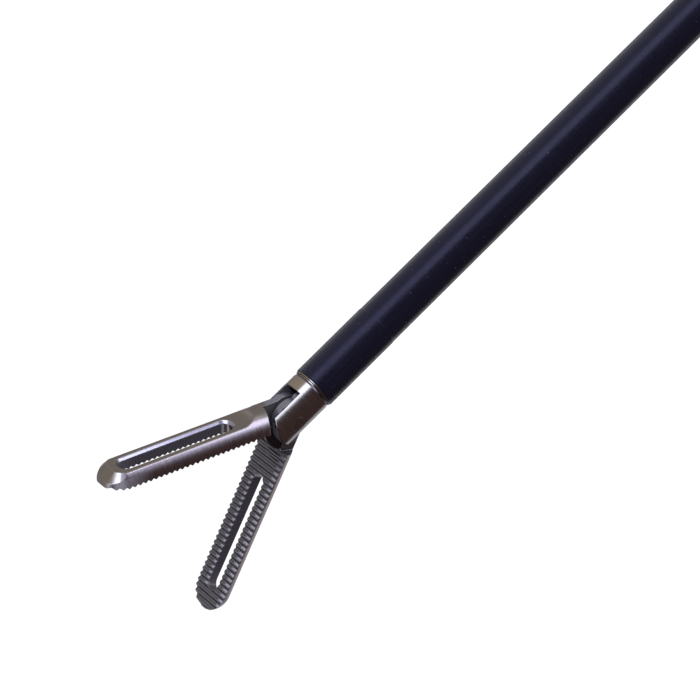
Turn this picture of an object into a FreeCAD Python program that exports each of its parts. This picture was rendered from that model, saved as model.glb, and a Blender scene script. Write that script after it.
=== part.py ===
import FreeCAD, Part
import math
import os
from FreeCAD import Vector

# Fenestrated grasper, a 5 mm instrument for keyhole surgery, with its jaws fully open.
# Origin on the shaft's axis at the front end of the insulation, +X towards the jaw tips,
# +Z along the pivot pin. Millimetres and degrees.

# Jaws: lengths along the jaw from the pivot, heights outwards from the closed face
pivot_x = 4.16
open_angle = 31.0
jaw_lean = 0.4
jaw_length = 23.3
bar_r = 2.4
jaw_bar_over = 0.05
jaw_bar_drop = 0.38
heel_r = 3.75
runout_start = 6.7
runout_r = 4.2
back_start_h = 1.51
back_end_h = 1.44
nose_bevel_length = 1.25
nose_tip_h = 0.30
nose_length = 2.3
back_fillet = 0.3
nose_cone_back = 2.88
nose_cone_r = 1.95
nose_cone_h = 1.3
nose_tip_r = 0.15
nose_trim = 0.06

# Window through each jaw
window_start = 7.2
window_end_wall = 2.25
window_half = 0.86
window_back_chamfer = 0.28
window_face_chamfer = 0.04

# Teeth: the two jaws are half a pitch apart, so closed teeth mesh with an even gap
tooth_start = 4.03
tooth_pitch = 0.64
tooth_depth = 0.20
tooth_land = 0.06
closed_gap = 0.06

# Tangs, pivot pin, and the cam slots that the drive pin runs in
tang_r = 2.15
tang_inner_z = 0.26
tang_outer_z = 1.08
neck_top_h = 1.9
neck_lap = 0.15
neck_over_teeth = 0.05
pivot_pin_r = 0.60
pivot_head_r = 0.85
pivot_head_depth = 0.45
drive_pin_r = 0.25
drive_pin_half = 1.04
rod_travel = 1.0
cam_r_open = 1.25
cam_end_wall = 0.275
cam_curve_steps = 8

# Clevis
arm_end_over = 0.23
slot_start = 1.9
slot_half = 1.13
cavity_start = 0.9
cavity_r = 2.0
tip_bead_over = 0.05
tip_bead_length = 0.20
tip_groove_depth = 0.20
tip_groove_length = 0.14
arm_bevel = 0.10
arm_bevel_length = 0.22
spigot_length = 7.0
arm_edge = 0.10

# Shaft: insulation, tube and rod
working_length = 330.0
sleeve_r = 2.5
sleeve_tip_r = 2.54
sleeve_tip_length = 9.5
sleeve_tail_r = 2.3
sleeve_edge = 0.06
tube_r = 2.1
tube_bore_r = 1.7
rod_r = 0.9
tongue_half_y = 0.8
tongue_half_z = 0.22
tongue_tip_r = 0.5
tongue_shank_start = -3.0
tongue_blade_start = -1.2
tongue_spigot_r = 0.5
tongue_spigot_length = 2.0

# Knob, hub and what they carry
knob_length = 24.0
knob_r = 14.0
knob_rim_r = 13.2
knob_nose_r = 6.0
knob_neck_r = 7.0
knob_neck_length = 9.0
knob_shoulder = 13.0
knob_edge = 1.5
knob_neck_blend = 5.0
knob_shoulder_edge = 2.5
flute_count = 8
flute_r = 3.6
flute_depth = 2.0
flute_start = 9.5
hub_seat_r = 6.0
hub_seat_length = 15.4
hub_journal_r = 5.0
hub_tail = 8.4
sleeve_in_hub = 2.0
tube_in_hub = 19.0
set_screw_r = 1.25
set_screw_length = 4.6
set_screw_hex = 0.75
washer_r = 8.0
washer_thick = 0.8
clip_r = 6.5
clip_thick = 1.0
clip_groove_r = 4.0
clip_opening = 60.0
clip_room = 0.5
seal_r = 3.0
seal_length = 3.0
retainer_length = 2.4

# Handle shells
shell_half = 8.5
ring_half = 5.5
taper_drop = 2.0
taper_run = 14.0
taper_r = 14.0
saddle_length = 8.0
cavity_half = 5.4
cavity_top_wall = 3.0
cavity_rear_wall = 3.0
cavity_lip = 0.5
mouth_ahead = 2.6
body_front_half = 9.5
body_crown_back = 18.0
body_crown_r = 30.0
body_top = 13.5
body_rear_top_drop = 2.5
body_rear_top_in = 5.0
body_rear_top_r = 9.0
body_rear_y = -4.0
body_bottom = -14.0
body_heel_in = 11.0
body_corner_r = 6.0
body_tail = 21.0
shell_edge = 2.0
finger_hole_r = 13.0
finger_hole_run = 18.0
finger_ring_wall = 5.5
finger_ring_y = -49.0
finger_ring_back = 17.0
finger_ring_lean = 2.0
neck_front_back = 6.0
neck_ahead = 3.4
neck_corner_r = 5.0
neck_blend_drop = 11.0
ring_blend_r = 14.0
screw_r = 1.25
screw_head_r = 2.1
screw_head_length = 1.6
screw_head_sunk = 0.3
screw_reach = 5.0
screw_boss_r = 2.9

# Thumb lever
ball_back = 28.4
ball_r = 2.0
ball_arm = 5.0
lever_half = 5.0
lever_hub_r = 6.5
lever_head_half = 5.0
lever_head_top = 5.2
lever_arm_width = 9.0
lever_edge = 1.8
thumb_dx = -44.0
thumb_dy = -55.5
thumb_hole_r = 12.5
thumb_ring_wall = 5.0
thumb_blend_r = 7.0
lever_pin_r = 1.5
lever_pin_half = 7.0
socket_r = 3.2
socket_depth = 2.5
socket_slot_half = 1.1
socket_slot_drop = 1.9
socket_slot_room = 0.4

# Electrode post and its contact leaf
post_back = 13.9
post_r = 2.0
post_root_r = 2.4
post_top = 27.0
post_flange_r = 3.0
post_flange_length = 1.6
post_collar_r = 4.4
post_collar_top = 16.5
leaf_half = 1.8
leaf_thick = 0.35
leaf_run = 2.5
leaf_gap = 0.08
leaf_height = 2.5

# Fits, as radial clearances
press_gap = 0.01
running_gap = 0.03
pin_gap = 0.02
slide_gap = 0.05
stack_gap = 0.10
socket_gap = 0.06

# Places that follow from the sizes
jaw_bar_r = bar_r + jaw_bar_over
nose_edge = jaw_length - nose_bevel_length
nose_cone_x = jaw_length - nose_cone_back
window_end = jaw_length - window_end_wall
tooth_crest_h = (closed_gap - tooth_depth) / 2
tooth_root_h = (closed_gap + tooth_depth) / 2
cam_r_closed = cam_r_open + rod_travel
clevis_arm_r = bar_r + arm_end_over
tip_bead_r = bar_r + tip_bead_over
tip_groove_r = bar_r - tip_groove_depth
drive_pin_x = pivot_x - cam_r_open
knob_nose_x = pivot_x + jaw_length - working_length
knob_rear_x = knob_nose_x - knob_length
hub_front_x = knob_rear_x + hub_seat_length
front_x = knob_rear_x - washer_thick - 2 * stack_gap
saddle_rear_x = front_x - saddle_length
clip_rear_x = saddle_rear_x - stack_gap - clip_thick
hub_rear_x = saddle_rear_x - hub_tail
ball_x = front_x - ball_back
body_rear_x = ball_x - body_tail
body_length = front_x - body_rear_x
seal_front_x = hub_rear_x + retainer_length + seal_length
post_x = front_x - post_back
finger_x = front_x - finger_ring_back
finger_outer_r = finger_hole_r + finger_ring_wall
thumb_x = ball_x + thumb_dx
thumb_y = thumb_dy - ball_arm
screw_places = [
    (front_x - saddle_length / 2, hub_journal_r + 2.9),
    (body_rear_x + 8.5, 5.0),
    (finger_x, -17.0),
]
axis_x = Vector(1, 0, 0)
axis_y = Vector(0, 1, 0)
axis_z = Vector(0, 0, 1)
origin = Vector(0, 0, 0)


def outline(corners):
    """Closed wire through corners (x, y, radius), each corner rounded by its radius."""
    bends = []
    for i, (x, y, radius) in enumerate(corners):
        corner = Vector(x, y, 0)
        before = Vector(corners[i - 1][0], corners[i - 1][1], 0) - corner
        following = corners[(i + 1) % len(corners)]
        after = Vector(following[0], following[1], 0) - corner
        before.normalize()
        after.normalize()
        half = before.getAngle(after) / 2
        reach = radius / math.tan(half)
        inwards = (before + after).normalize() if radius else origin
        middle = corner + inwards * (radius / math.sin(half) - radius)
        bends.append((corner + before * reach, middle, corner + after * reach, radius))
    edges = []
    for i, (start, middle, end, radius) in enumerate(bends):
        if radius:
            edges.append(Part.Arc(start, middle, end).toShape())
        next_start = bends[(i + 1) % len(bends)][0]
        if end.distanceToPoint(next_start) > 1e-6:
            edges.append(Part.LineSegment(end, next_start).toShape())
    return Part.Wire(edges)


def prism(corners, z_low, z_high):
    """Outline in the XY plane, drawn up from z_low to z_high."""
    face = Part.Face(outline(corners))
    face.translate(axis_z * z_low)
    return face.extrude(axis_z * (z_high - z_low))


def turned(corners):
    """Solid of revolution about the X axis from corners (x, r, radius)."""
    return Part.Face(outline(corners)).revolve(origin, axis_x, 360)


def rod(radius, x_from, x_to):
    """Round bar along the shaft's axis between two places."""
    low = min(x_from, x_to)
    return Part.makeCylinder(radius, abs(x_to - x_from), Vector(low, 0, 0), axis_x)


def pillar(radius, x, y, z_low, z_high):
    """Round bar along Z."""
    return Part.makeCylinder(radius, z_high - z_low, Vector(x, y, z_low), axis_z)


def block(x_low, x_high, y_low, y_high, z_low, z_high):
    """Box between two corners."""
    return Part.makeBox(x_high - x_low, y_high - y_low, z_high - z_low, Vector(x_low, y_low, z_low))


def slot_wire(x_low, x_high, half):
    """Slot with round ends in the XY plane, its ends' centres on the X axis."""
    low, high = Vector(x_low, -half, 0), Vector(x_high, -half, 0)
    high_end, low_end = Vector(x_high, half, 0), Vector(x_low, half, 0)
    return Part.Wire([
        Part.LineSegment(low, high).toShape(),
        Part.Arc(high, Vector(x_high + half, 0, 0), high_end).toShape(),
        Part.LineSegment(high_end, low_end).toShape(),
        Part.Arc(low_end, Vector(x_low - half, 0, 0), low).toShape(),
    ])


# Jaws, each in its own frame first: x along the jaw, y outwards, z across
def back_height(along):
    """Height of the tapered back flat, which the nose edge ends."""
    share = (along - runout_start) / (nose_edge - runout_start)
    return back_start_h + (back_end_h - back_start_h) * share


def jaw_blank():
    """Half-round bar with its back milled flat, run out by the cutter's radius, and its nose bevelled."""
    cutter_x = runout_start - runout_r
    above = back_start_h + runout_r + 1
    blank = prism([
        (0, tooth_crest_h, 0), (jaw_length, tooth_crest_h, 0), (jaw_length, nose_tip_h, nose_tip_r),
        (nose_edge, back_end_h, 0), (cutter_x, back_height(cutter_x), runout_r),
        (cutter_x, above, 0), (0, above, 0)], -jaw_bar_r, jaw_bar_r)
    bar = rod(jaw_bar_r, 0, jaw_length)
    bar.translate(axis_y * -jaw_bar_drop)
    blank = blank.common(bar)
    blank = blank.makeFillet(back_fillet, [edge for edge in blank.Edges if back_edge(edge)])
    return blank.common(domed_bar()).common(nose_cone()).cut(pillar(heel_r, 0, 0, -jaw_bar_r, jaw_bar_r))


def domed_bar():
    """Bar that the jaw is milled from, its end domed to half an ellipse that reaches just past the tip."""
    nose_start = jaw_length - nose_length
    dome_tip = Vector(jaw_length + nose_trim, 0, 0)
    shoulder = Vector(nose_start, jaw_bar_r, 0)
    centre = Vector(nose_start, 0, 0)
    dome = Part.Ellipse(shoulder, dome_tip, centre)
    start, end = sorted((dome.parameter(dome_tip), dome.parameter(shoulder)))
    if end - start > math.pi:
        start, end = end, start + 2 * math.pi
    sides = [
        Part.LineSegment(dome_tip, origin).toShape(),
        Part.LineSegment(origin, axis_y * jaw_bar_r).toShape(),
        Part.LineSegment(axis_y * jaw_bar_r, shoulder).toShape(),
        Part.ArcOfEllipse(dome, start, end).toShape(),
    ]
    bar = Part.Face(Part.Wire(Part.__sortEdges__(sides))).revolve(origin, axis_x, 360)
    bar.translate(axis_y * -jaw_bar_drop)
    return bar


def nose_cone():
    """Cone across the jaw that rounds the back's end, with everything nearer the pivot."""
    low, high = nose_cone_h - nose_cone_r, nose_cone_h + nose_cone_r / 2
    cone = Part.makeCone(nose_cone_r * 2, nose_cone_r / 2, high - low, Vector(nose_cone_x, low, 0), axis_y)
    return cone.fuse(block(0, nose_cone_x, low, high, -jaw_bar_r, jaw_bar_r))


def tooth_comb(phase):
    """What the cutter takes out between the teeth, all across the face."""
    flank = (tooth_pitch - 2 * tooth_land) / 2
    points = []
    step = tooth_start - 2 * tooth_pitch + phase * tooth_pitch
    while step < jaw_length + tooth_pitch:
        points.append(Vector(step, tooth_crest_h, 0))
        points.append(Vector(step + flank, tooth_root_h, 0))
        points.append(Vector(step + flank + tooth_land, tooth_root_h, 0))
        points.append(Vector(step + 2 * flank + tooth_land, tooth_crest_h, 0))
        step += tooth_pitch
    below = tooth_crest_h - 1
    points.append(Vector(points[-1].x, below, 0))
    points.append(Vector(points[0].x, below, 0))
    points.append(points[0])
    face = Part.Face(Part.makePolygon(points))
    face.translate(axis_z * -jaw_bar_r)
    return face.extrude(axis_z * (2 * jaw_bar_r))


def window_tool(half_low, low, half_high, high):
    """Slot-shaped tool along the jaw's height, narrower or wider at its top than at its foot."""
    rims = []
    for half, height in ((half_low, low), (half_high, high)):
        rim = slot_wire(window_start + window_half, window_end - window_half, half)
        rim.rotate(origin, axis_x, -90)
        rim.translate(axis_y * height)
        rims.append(rim)
    return Part.makeLoft(rims, True, True)


def cut_window(jaw):
    """Cut the window through the jaw and bevel its rims at the back and at the teeth."""
    jaw = jaw.cut(window_tool(window_half, -1, window_half, jaw_bar_r + 1))
    lip = window_back_chamfer
    back = window_tool(window_half - lip, -2 * lip, window_half + lip, 0)
    back = back.fuse(window_tool(window_half + lip, 0, window_half + lip, lip))
    slope = math.degrees(math.atan((back_end_h - back_start_h) / (nose_edge - runout_start)))
    middle = (window_start + window_end) / 2
    back.rotate(Vector(middle, 0, 0), axis_z, slope)
    back.translate(axis_y * back_height(middle))
    lip = window_face_chamfer
    face = window_tool(window_half + 2 * lip, tooth_crest_h - lip, window_half - lip, tooth_crest_h + 2 * lip)
    return jaw.cut(back).cut(face)


def cam_point(turn, offset):
    """Point beside the cam slot's centre line, after the jaw has opened by turn degrees."""
    angle = math.radians(turn)
    growth = rod_travel / math.radians(open_angle)
    reach = cam_r_closed - growth * angle
    tangent = Vector(growth * math.cos(angle) + reach * math.sin(angle),
                     -growth * math.sin(angle) + reach * math.cos(angle), 0).normalize()
    normal = Vector(-tangent.y, tangent.x, 0)
    centre = Vector(-reach * math.cos(angle), reach * math.sin(angle), 0)
    return centre + normal * offset, tangent


def cam_slot():
    """Curved slot that turns the jaw evenly as the drive pin slides straight."""
    half = drive_pin_r + pin_gap
    turns = [open_angle * i / cam_curve_steps for i in range(cam_curve_steps + 1)]
    edges = []
    for side in (half, -half):
        curve = Part.BSplineCurve()
        curve.interpolate([cam_point(turn, side)[0] for turn in turns])
        edges.append(curve.toShape())
    for turn, way in ((0, -1), (open_angle, 1)):
        centre, tangent = cam_point(turn, 0)
        edges.append(Part.Arc(cam_point(turn, half)[0], centre + tangent * (way * half),
                              cam_point(turn, -half)[0]).toShape())
    face = Part.Face(Part.Wire(Part.__sortEdges__(edges)))
    face.translate(axis_z * tang_inner_z)
    return face.extrude(axis_z * (tang_outer_z - tang_inner_z))


def tang():
    """Flat tang with the pivot hole and the cam slot, beside the other jaw's tang."""
    low, high = tang_inner_z, tang_outer_z
    end_r = drive_pin_r + cam_end_wall
    plate = pillar(tang_r, 0, 0, low, high)
    plate = plate.fuse(block(-cam_r_closed, 0, -end_r, end_r, low, high))
    plate = plate.fuse(pillar(end_r, -cam_r_closed, 0, low, high))
    neck_end = heel_r + neck_lap
    plate = plate.fuse(block(0, neck_end, tooth_root_h + neck_over_teeth, neck_top_h, low, high))
    return plate.removeSplitter().common(rod(bar_r, -bar_r * 2, neck_end))


def jaw(phase):
    """One jaw in its own frame."""
    solid = jaw_blank().cut(tooth_comb(phase))
    solid = cut_window(solid).fuse(tang()).removeSplitter()
    solid = solid.cut(pillar(pivot_pin_r + pin_gap, 0, 0, -jaw_bar_r, jaw_bar_r))
    return solid.cut(cam_slot())


def back_edge(edge):
    """True for the two long edges of the back flat."""
    middle = edge.CenterOfMass
    low, high = edge.BoundBox.XMin, edge.BoundBox.XMax
    return high - low > jaw_length / 2 and middle.y > back_end_h / 2


def upper_jaw():
    """Jaw that opens towards -Y, its tang below."""
    solid = jaw(0)
    solid.rotate(origin, axis_x, 180)
    solid.rotate(origin, axis_z, jaw_lean - open_angle)
    solid.translate(axis_x * pivot_x)
    return solid


def lower_jaw():
    """Jaw that opens towards +Y, its teeth half a pitch further on."""
    solid = jaw(0.5)
    solid.rotate(origin, axis_z, jaw_lean + open_angle)
    solid.translate(axis_x * pivot_x)
    return solid


def pivot_pin(gap):
    """Pin with peened conical ends, or with a gap the hole for it."""
    half = bar_r + gap
    head = half - pivot_head_depth
    ends = [(-half, pivot_head_r + gap), (-head, pivot_pin_r + gap), (head, pivot_pin_r + gap),
            (half, pivot_head_r + gap)]
    points = [Vector(0, 0, -half)] + [Vector(r, 0, z) for z, r in ends] + [Vector(0, 0, half)]
    face = Part.Face(Part.makePolygon(points + [points[0]]))
    pin = face.revolve(origin, axis_z, 360)
    pin.translate(axis_x * pivot_x)
    return pin


def jaw_pivot_pin():
    """Pin trimmed flush with the arms' round backs."""
    return pivot_pin(0).common(rod(bar_r - press_gap, 0, 2 * pivot_x))


def clevis():
    """Turned and slotted end piece, whose two arms carry the jaws."""
    groove_end = tip_bead_length + tip_groove_length
    bead_edge = tip_bead_length / 2
    solid = turned([
        (-spigot_length, 0, 0), (-spigot_length, tube_bore_r - press_gap, 0), (0, tube_bore_r - press_gap, 0),
        (0, tip_bead_r, bead_edge), (tip_bead_length, tip_bead_r, bead_edge),
        (tip_bead_length, tip_groove_r, 0), (slot_start, tip_groove_r, 0), (slot_start, 0, 0)])
    arm_x = groove_end + arm_bevel_length
    arms = turned([(groove_end, 0, 0), (groove_end, bar_r - arm_bevel, 0), (arm_x, bar_r, 0),
                   (pivot_x + clevis_arm_r, bar_r, 0), (pivot_x + clevis_arm_r, 0, 0)])
    keep = block(0, pivot_x, -bar_r, bar_r, -bar_r, bar_r)
    keep = keep.fuse(pillar(clevis_arm_r, pivot_x, 0, -bar_r, bar_r))
    arms = arms.common(keep).removeSplitter()
    arms = arms.cut(block(slot_start, pivot_x + clevis_arm_r, -bar_r, bar_r, -slot_half, slot_half))
    arms = soften_arms(arms)
    solid = solid.fuse(arms).removeSplitter()
    solid = solid.cut(rod(rod_r + slide_gap, -spigot_length, cavity_start))
    solid = solid.cut(rod(cavity_r, cavity_start, slot_start))
    return solid.cut(pivot_pin(press_gap))


def soften_arms(arms):
    """Break the arms' outer edges along the slot and round their ends."""
    picked = []
    for edge in arms.Edges:
        middle = edge.CenterOfMass
        along_slot = abs(abs(middle.z) - slot_half) < 1e-3 and abs(middle.y) > bar_r / 2
        round_end = middle.x > pivot_x + bar_r / 4 and abs(middle.z) > slot_half + 1e-3
        if (along_slot and edge.BoundBox.XLength > 1) or round_end:
            picked.append(edge)
    return arms.makeChamfer(arm_edge, picked)


def rod_tongue():
    """Round shank, spigot and flat blade that carries the drive pin between the tangs."""
    solid = rod(rod_r, tongue_shank_start, tongue_blade_start)
    solid = solid.fuse(rod(tongue_spigot_r - press_gap, tongue_shank_start - tongue_spigot_length,
                           tongue_shank_start))
    shoulder = drive_pin_x - tongue_half_y
    blade = prism([(tongue_blade_start, -tongue_half_y, 0), (shoulder, -tongue_half_y, 0),
                   (drive_pin_x + tongue_tip_r, -tongue_tip_r, tongue_tip_r * 0.99),
                   (drive_pin_x + tongue_tip_r, tongue_tip_r, tongue_tip_r * 0.99),
                   (shoulder, tongue_half_y, 0), (tongue_blade_start, tongue_half_y, 0)],
                  -tongue_half_z, tongue_half_z)
    solid = solid.fuse(blade)
    return solid.cut(pillar(drive_pin_r + press_gap, drive_pin_x, 0, -1, 1))


def drive_pin():
    """Cross pin in the tongue."""
    return pillar(drive_pin_r, drive_pin_x, 0, -drive_pin_half, drive_pin_half)


def push_rod():
    """Rod from the tongue to the ball, bored at its front for the tongue's spigot."""
    solid = rod(rod_r, tongue_shank_start, ball_x)
    return solid.cut(rod(tongue_spigot_r, tongue_shank_start, tongue_shank_start - tongue_spigot_length))


def rod_ball():
    """Ball pressed on the rod's rear end."""
    ball = Part.makeSphere(ball_r, Vector(ball_x, 0, 0))
    return ball.cut(rod(rod_r + press_gap, ball_x, ball_x + ball_r))


def inner_tube():
    """Steel tube from the clevis to the hub."""
    rear = hub_front_x - tube_in_hub
    return rod(tube_r, rear, 0).cut(rod(tube_bore_r, rear, 0))


def insulation_sleeve():
    """Insulating tube, doubled at its front and turned down where knob and hub grip it."""
    rear = hub_front_x - sleeve_in_hub
    step = -sleeve_tip_length
    bore = tube_r + press_gap
    return turned([(rear, bore, 0), (rear, sleeve_tail_r, 0), (knob_nose_x, sleeve_tail_r, 0),
                   (knob_nose_x, sleeve_r, 0), (step - sleeve_edge * 4, sleeve_r, 0),
                   (step, sleeve_tip_r, 0), (-sleeve_edge, sleeve_tip_r, 0),
                   (0, sleeve_tip_r - sleeve_edge, 0), (0, bore, 0)])


def knob_hub():
    """Turned bush: seat for the knob, journal in the handle, groove for the clip, chamber for the seal."""
    front, rear = hub_front_x, hub_rear_x
    tube_rear = front - tube_in_hub
    sleeve_rear = front - sleeve_in_hub
    clip_front = clip_rear_x + clip_thick
    bore = rod_r + 4 * slide_gap
    return turned([
        (front, hub_seat_r, 0.4), (knob_rear_x, hub_seat_r, 0), (knob_rear_x, hub_journal_r, 0),
        (clip_front, hub_journal_r, 0), (clip_front, clip_groove_r, 0), (clip_rear_x, clip_groove_r, 0),
        (clip_rear_x, hub_journal_r, 0), (rear, hub_journal_r, 0.4), (rear, seal_r, 0),
        (seal_front_x, seal_r, 0), (seal_front_x, bore, 0), (tube_rear, bore, 0),
        (tube_rear, tube_r + press_gap, 0), (sleeve_rear, tube_r + press_gap, 0),
        (sleeve_rear, sleeve_tail_r + press_gap, 0), (front, sleeve_tail_r + press_gap, 0)])


def rod_seal():
    """Soft ring that seals on the rod."""
    rear = hub_rear_x + retainer_length
    return turned([(seal_front_x, seal_r - press_gap, 0.3), (rear, seal_r - press_gap, 0.3),
                   (rear, rod_r + running_gap, 0.3), (seal_front_x, rod_r + running_gap, 0.3)])


def seal_retainer():
    """Bush that closes the seal's chamber."""
    front = hub_rear_x + retainer_length
    return rod(seal_r - press_gap, hub_rear_x, front).cut(rod(rod_r + 4 * slide_gap, hub_rear_x, front))


def rotation_knob():
    """Fluted wheel with a nose that the sleeve passes through."""
    nose = knob_nose_x
    solid = turned([
        (nose, sleeve_tail_r + press_gap, 0), (nose, knob_nose_r, knob_edge),
        (nose - knob_neck_length, knob_neck_r, knob_neck_blend),
        (nose - knob_shoulder, knob_r, knob_shoulder_edge), (knob_rear_x, knob_rim_r, knob_edge),
        (knob_rear_x, hub_seat_r + press_gap, 0), (hub_front_x, hub_seat_r + press_gap, 0),
        (hub_front_x, sleeve_tail_r + press_gap, 0)])
    centre = knob_r - flute_depth + flute_r
    for i in range(flute_count):
        foot = Vector(nose - flute_start - knob_length, 0, centre)
        flute = Part.makeCylinder(flute_r, knob_length, foot, axis_x)
        flute.rotate(origin, axis_x, 360 / flute_count * i)
        solid = solid.cut(flute)
    return solid.cut(set_screw_hole())


def set_screw_place():
    """Where the grub screw stands, midway along the hub's seat and on a land between flutes."""
    return Vector(hub_front_x - hub_seat_length / 2, 0, hub_seat_r)


def turn_to_land(solid):
    """Turn a radial piece from a flute to the land beside it."""
    solid.rotate(origin, axis_x, 180 / flute_count)
    return solid


def set_screw_hole():
    """Radial hole from the hub's seat out through the knob."""
    return turn_to_land(Part.makeCylinder(set_screw_r + press_gap, knob_r, set_screw_place(), axis_z))


def knob_set_screw():
    """Grub screw with a hexagon socket, down on the hub."""
    place = set_screw_place()
    screw = Part.makeCylinder(set_screw_r, set_screw_length, place + axis_z * press_gap, axis_z)
    corners = [Vector(set_screw_hex * math.cos(math.radians(60 * i)),
                      set_screw_hex * math.sin(math.radians(60 * i)), 0) for i in range(7)]
    socket = Part.Face(Part.makePolygon(corners)).extrude(axis_z * set_screw_length)
    socket.translate(place + axis_z * (set_screw_length * 0.6))
    return turn_to_land(screw.cut(socket))


def thrust_washer():
    """Washer between the knob and the handle."""
    front = knob_rear_x - stack_gap
    rear = front - washer_thick
    return rod(washer_r, rear, front).cut(rod(hub_journal_r + slide_gap, rear, front))


def retaining_clip():
    """Open ring in the hub's groove, behind the saddle."""
    front = clip_rear_x + clip_thick - press_gap
    rear = clip_rear_x + press_gap
    ring = rod(clip_r, rear, front).cut(rod(clip_groove_r + press_gap, rear, front))
    spread = clip_r * math.tan(math.radians(clip_opening / 2))
    gap = [Vector(rear, 0, 0), Vector(rear, spread * 2, -clip_r * 2), Vector(rear, -spread * 2, -clip_r * 2)]
    wedge = Part.Face(Part.makePolygon(gap + [gap[0]])).extrude(axis_x * clip_thick)
    return ring.cut(wedge)


# Handle
def shell_outline():
    """Side view of the handle's body, neck and fixed ring."""
    low = finger_ring_y - finger_hole_run - finger_outer_r
    foot_x = finger_x - finger_ring_lean
    neck_rear = ball_x + neck_ahead
    neck_front = front_x - neck_front_back
    side_r = finger_outer_r - shell_edge / 4
    top = finger_ring_y + finger_outer_r * 0.85
    return [
        (front_x, body_front_half, 3), (front_x - body_crown_back, body_top, body_crown_r),
        (body_rear_x + body_rear_top_in, body_top - body_rear_top_drop, body_rear_top_r),
        (body_rear_x, body_rear_y, body_corner_r), (body_rear_x + body_heel_in, body_bottom, body_corner_r),
        (neck_rear, body_bottom, neck_corner_r), (neck_rear, top + neck_corner_r, neck_corner_r),
        (finger_x - finger_outer_r, top, ring_blend_r), (foot_x - finger_outer_r, low, side_r),
        (foot_x + finger_outer_r, low, side_r), (finger_x + finger_outer_r, top, ring_blend_r),
        (neck_front, top + neck_blend_drop, ring_blend_r),
        (neck_front, -body_front_half - 3, neck_corner_r), (front_x, -body_front_half, 2.5),
    ]


def finger_hole(half_z):
    """Slanted opening of the fixed ring."""
    low = finger_ring_y - finger_hole_run
    hole = pillar(finger_hole_r, finger_x, finger_ring_y, -half_z, half_z)
    hole = hole.fuse(pillar(finger_hole_r, finger_x - finger_ring_lean, low, -half_z, half_z))
    run = Vector(-finger_ring_lean, -finger_hole_run, 0)
    across = Vector(run.y, -run.x, 0).normalize() * finger_hole_r
    top = Vector(finger_x, finger_ring_y, -half_z)
    sides = [top + across, top + run + across, top + run - across, top - across, top + across]
    between = Part.Face(Part.makePolygon(sides)).extrude(axis_z * (2 * half_z))
    return hole.fuse(between).removeSplitter()


def thickness_profile():
    """Everything within the handle's thickness, which is less at the ring than at the body."""
    high = body_top + shell_half
    low = finger_ring_y * 2
    start, end = body_bottom - taper_drop, body_bottom - taper_drop - taper_run
    corners = [(high, shell_half, 0), (start, shell_half, taper_r), (end, ring_half, taper_r), (low, ring_half, 0),
               (low, -ring_half, 0), (end, -ring_half, taper_r), (start, -shell_half, taper_r),
               (high, -shell_half, 0)]
    face = Part.Face(outline(corners))
    face.rotate(origin, axis_x, 90)
    face.rotate(origin, axis_z, 90)
    face.translate(axis_x * (body_rear_x - finger_outer_r))
    return face.extrude(axis_x * (body_length + 3 * finger_outer_r))


def cavity():
    """Room inside the shells for hub, clip, lever head and lever, open below for the lever."""
    roof = body_top - cavity_top_wall
    bottom = body_bottom + cavity_top_wall
    rear = body_rear_x + cavity_rear_wall
    below = body_bottom - shell_half
    mouth_x = ball_x + mouth_ahead
    corners = [
        (saddle_rear_x, 7.5, 1), (front_x - body_crown_back, roof, body_crown_r / 2),
        (rear + body_rear_top_in - 1, roof - 2, body_rear_top_r - 2), (rear, body_rear_y, body_corner_r - 2),
        (rear + 4.5, bottom + cavity_lip, 0), (body_rear_x + 2, below, 0), (mouth_x, below, 0),
        (mouth_x, bottom, cavity_lip), (saddle_rear_x - 14, bottom, 3), (saddle_rear_x, -8, 1)]
    return prism(corners, -cavity_half, cavity_half)


def handle():
    """Both shells in one piece, before they are parted."""
    solid = prism(shell_outline(), -shell_half, shell_half).common(thickness_profile())
    solid = solid.cut(finger_hole(shell_half)).removeSplitter()
    rims = [edge for edge in solid.Edges if edge.BoundBox.ZMin > 1 or edge.BoundBox.ZMax < -1]
    solid = solid.makeFillet(shell_edge, rims)
    collar_foot = Vector(post_x, body_front_half, 0)
    collar = Part.makeCylinder(post_collar_r, post_collar_top - body_front_half, collar_foot, axis_y)
    solid = solid.fuse(collar).removeSplitter()
    solid = solid.cut(cavity())
    for x, y in screw_places:
        solid = solid.fuse(pillar(screw_boss_r, x, y, -cavity_half, cavity_half))
    boss_z = lever_half + stack_gap
    for low, high in ((boss_z, cavity_half), (-cavity_half, -boss_z)):
        solid = solid.fuse(pillar(lever_pin_r + 2.5, ball_x, -ball_arm, low, high))
    solid = solid.removeSplitter()
    solid = solid.cut(rod(hub_journal_r + slide_gap, saddle_rear_x - 1, front_x))
    solid = solid.cut(rod(clip_r + clip_room, clip_rear_x - clip_room, saddle_rear_x))
    for x, y in screw_places:
        solid = solid.cut(pillar(screw_r + press_gap, x, y, -screw_reach - 0.5, shell_half))
        seat = shell_half - screw_head_length - screw_head_sunk
        solid = solid.cut(pillar(screw_head_r + slide_gap, x, y, seat, shell_half + 1))
    solid = solid.cut(pillar(lever_pin_r + press_gap, ball_x, -ball_arm, -lever_pin_half, lever_pin_half))
    return solid.cut(post(press_gap))


def half_handle(low, high):
    """One side of the handle, parted at the middle plane."""
    reach = working_length
    return handle().common(block(-2 * reach, 0, -reach, reach, low, high))


def right_shell():
    """Side towards +Z, with the screw heads."""
    return half_handle(0, shell_half)


def left_shell():
    """Side towards -Z, with the blind screw holes."""
    return half_handle(-shell_half, 0)


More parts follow.
